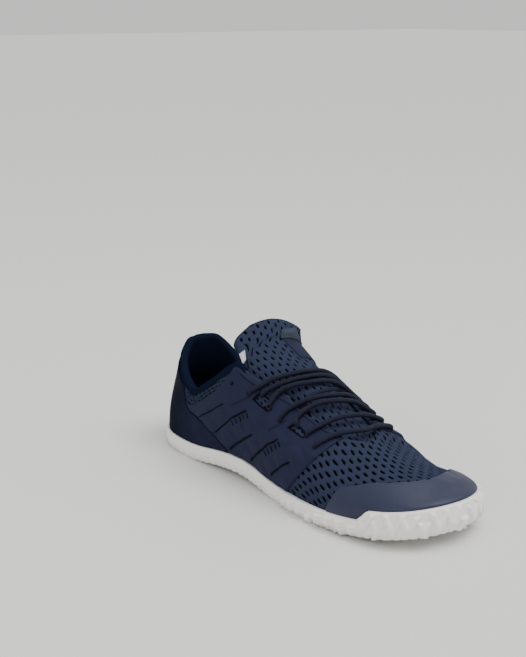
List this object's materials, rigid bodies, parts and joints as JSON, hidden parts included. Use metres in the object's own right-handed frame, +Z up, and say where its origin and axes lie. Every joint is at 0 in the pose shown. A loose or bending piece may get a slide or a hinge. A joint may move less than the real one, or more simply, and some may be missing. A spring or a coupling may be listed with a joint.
{
  "type": "barefoot shoe",
  "caption": "Low-cut left barefoot shoe: hollow mesh upper with padded collar and tongue, round lace, and a thin flexible cup sole with zigzag tread and raised toe bumper.",
  "frame": {"origin": "on the floor under the middle of the shoe's box", "axes": "+X along the shoe towards the toe, +Y towards the outer side of the foot, +Z up"},
  "size_m": [0.2858, 0.1072, 0.1013],
  "materials": {
    "white_rubber": "matt",
    "yellow_rubber": "satin",
    "navy_mesh": "knitted mesh",
    "navy_film": "smooth bonded film",
    "navy_panel": "coated textile",
    "dark_foam": "brushed lining",
    "navy_cord": "woven"
  },
  "bodies": {
    "root": {"outsole": "white_rubber", "sole_inlay_bar": "yellow_rubber", "sole_inlay_oval": "yellow_rubber", "insole": "dark_foam", "upper": "navy_mesh", "toe_cap": "navy_film", "heel_counter": "navy_film", "side_panel_medial": "navy_panel", "side_panel_lateral": "navy_panel", "tongue": "navy_mesh", "tongue_label": "navy_film", "laces": "navy_cord"}
  },
  "joints": []
}
